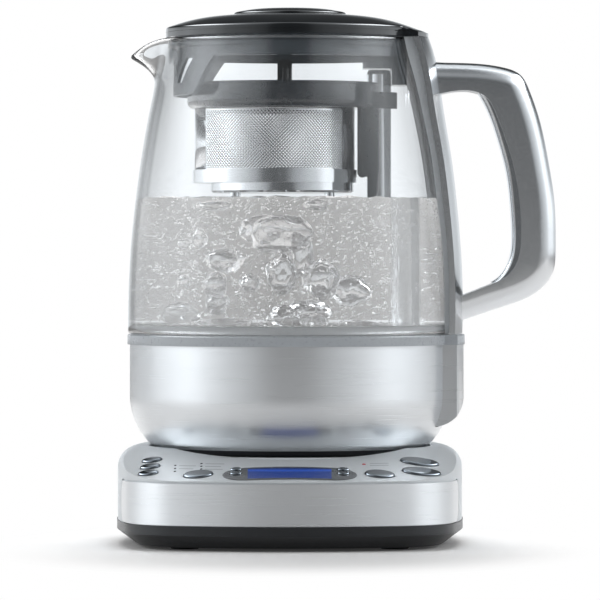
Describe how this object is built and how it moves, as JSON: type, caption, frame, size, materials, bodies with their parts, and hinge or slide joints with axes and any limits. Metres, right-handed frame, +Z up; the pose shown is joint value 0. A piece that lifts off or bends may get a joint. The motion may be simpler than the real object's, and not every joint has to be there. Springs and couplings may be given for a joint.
{
  "type": "automatic tea maker",
  "caption": "Automatic tea maker: a clear glass jug with a motor-lowered tea basket, lid and side handle on a powered base with keys and a display.",
  "frame": {"origin": "on the jug's vertical axis, in the plane of the table under the rubber feet", "axes": "+Z up, -Y towards the control panel and the user, +X towards the jug's handle, -X towards the spout"},
  "size_m": [0.2144, 0.1884, 0.261],
  "materials": {
    "brushed_steel": "brushed",
    "silver_paint": "satin silver",
    "silver_plastic": "silver",
    "black_plastic": "matte",
    "black_gloss": "gloss",
    "slate_plastic": "satin",
    "glass": "clear",
    "lcd": "lit blue",
    "light_pipe": "translucent",
    "chrome": "polished",
    "rubber": "matte",
    "seal": "silicone",
    "board": "board green",
    "brass": "plated",
    "steel": "bare",
    "magnet": "nickel",
    "ceramic_white": "matte"
  },
  "bodies": {
    "base": {"base_front_plate": "brushed_steel", "base_lower_housing": "black_plastic", "base_screws": "steel", "base_socket": "black_plastic", "base_top_cover": "silver_paint", "control_board": "board", "cord_gland": "black_plastic", "display_module": "ceramic_white", "display_surround": "silver_paint", "display_window": "lcd", "heater_relay": "black_plastic", "indicator_lights": "light_pipe", "power_board": "board", "rubber_feet": "rubber", "socket_contacts": "brass", "tact_switches": "black_plastic", "transformer": "brass"},
    "connector": {"jug_connector": "black_plastic"},
    "jug": {"collar_ring": "slate_plastic", "glass_jug": "glass", "glass_seal": "seal", "handle": "silver_plastic", "handle_insert": "chrome", "handle_screws": "steel", "handle_spine": "brushed_steel", "heater_plate": "chrome", "heating_element": "steel", "jug_bottom_cover": "black_plastic", "lift_motor": "steel", "motor_mount": "black_plastic", "post_cap": "slate_plastic", "post_tube": "steel", "spine_liner": "black_plastic", "steel_cup": "brushed_steel", "temperature_probe": "chrome"},
    "lid": {"lid_top": "black_gloss", "lid_knob": "black_gloss", "lid_rim": "black_gloss", "lid_skirt": "slate_plastic", "strainer_mesh": "steel"},
    "basket": {"basket_rim": "slate_plastic", "slider_magnets": "magnet", "basket_mesh": "steel", "basket_band": "steel", "basket_base": "chrome"},
    "basket_lid": {"basket_lid": "black_gloss"},
    "carriage": {"magnet_carriage": "magnet"},
    "screw": {"lead_screw": "steel", "screw_coupler": "steel"},
    "auto_start_key": {"auto_start_key": "chrome"},
    "clock_key": {"clock_key": "chrome"},
    "heat_key": {"heat_key": "chrome"},
    "kettle_key": {"kettle_key": "chrome"},
    "strength_key": {"strength_key": "chrome"},
    "tea_key": {"tea_key": "chrome"},
    "tea_type_key": {"tea_type_key": "chrome"},
    "temperature_down_key": {"temperature_down_key": "chrome"},
    "temperature_up_key": {"temperature_up_key": "chrome"},
    "time_down_key": {"time_down_key": "chrome"},
    "time_up_key": {"time_up_key": "chrome"}
  },
  "joints": [
    {"name": "auto_start_key_press", "type": "slide", "parent": "base", "child": "auto_start_key", "axis": [0, -0.309, 0.9511], "range_m": [-0.0008, 0], "stiffness_N_per_m": 2000},
    {"name": "clock_key_press", "type": "slide", "parent": "base", "child": "clock_key", "axis": [0, -0.309, 0.9511], "range_m": [-0.0008, 0], "stiffness_N_per_m": 2000},
    {"name": "heat_key_press", "type": "slide", "parent": "base", "child": "heat_key", "axis": [0, -0.309, 0.9511], "range_m": [-0.0008, 0], "stiffness_N_per_m": 2000},
    {"name": "kettle_key_press", "type": "slide", "parent": "base", "child": "kettle_key", "axis": [0, -0.309, 0.9511], "range_m": [-0.0008, 0], "stiffness_N_per_m": 2000},
    {"name": "strength_key_press", "type": "slide", "parent": "base", "child": "strength_key", "axis": [0, -0.309, 0.9511], "range_m": [-0.0008, 0], "stiffness_N_per_m": 2000},
    {"name": "tea_key_press", "type": "slide", "parent": "base", "child": "tea_key", "axis": [0, -0.309, 0.9511], "range_m": [-0.0008, 0], "stiffness_N_per_m": 2000},
    {"name": "tea_type_key_press", "type": "slide", "parent": "base", "child": "tea_type_key", "axis": [0, -0.309, 0.9511], "range_m": [-0.0008, 0], "stiffness_N_per_m": 2000},
    {"name": "temperature_down_key_press", "type": "slide", "parent": "base", "child": "temperature_down_key", "axis": [0, -0.309, 0.9511], "range_m": [-0.0008, 0], "stiffness_N_per_m": 2000},
    {"name": "temperature_up_key_press", "type": "slide", "parent": "base", "child": "temperature_up_key", "axis": [0, -0.309, 0.9511], "range_m": [-0.0008, 0], "stiffness_N_per_m": 2000},
    {"name": "time_down_key_press", "type": "slide", "parent": "base", "child": "time_down_key", "axis": [0, -0.309, 0.9511], "range_m": [-0.0008, 0], "stiffness_N_per_m": 2000},
    {"name": "time_up_key_press", "type": "slide", "parent": "base", "child": "time_up_key", "axis": [0, -0.309, 0.9511], "range_m": [-0.0008, 0], "stiffness_N_per_m": 2000},
    {"name": "jug_lift", "type": "slide", "parent": "base", "child": "connector", "axis": [0, 0, 1], "range_m": [0, 0.06]},
    {"name": "jug_turn", "type": "hinge", "parent": "connector", "child": "jug", "pos_m": [0, 0, 0.045], "axis": [0, 0, 1], "continuous": true},
    {"name": "lid_lift", "type": "slide", "parent": "jug", "child": "lid", "axis": [0, 0, 1], "range_m": [0, 0.07]},
    {"name": "basket_slide", "type": "slide", "parent": "jug", "child": "basket", "axis": [0, 0, 1], "range_m": [-0.06, 0]},
    {"name": "basket_lid_lift", "type": "slide", "parent": "basket", "child": "basket_lid", "axis": [0, 0, 1], "range_m": [0, 0.01]},
    {"name": "carriage_slide", "type": "slide", "parent": "jug", "child": "carriage", "axis": [0, 0, 1], "range_m": [-0.06, 0]},
    {"name": "screw_turn", "type": "hinge", "parent": "jug", "child": "screw", "pos_m": [0.0436, 0, 0.05], "axis": [0, 0, 1], "range_deg": [-2700, 0]}
  ],
  "couplings": [
    {"joint": "carriage_slide", "follows": "basket_slide", "ratio": 1},
    {"joint": "screw_turn", "follows": "basket_slide", "rad_per_m": 785.39}
  ]
}
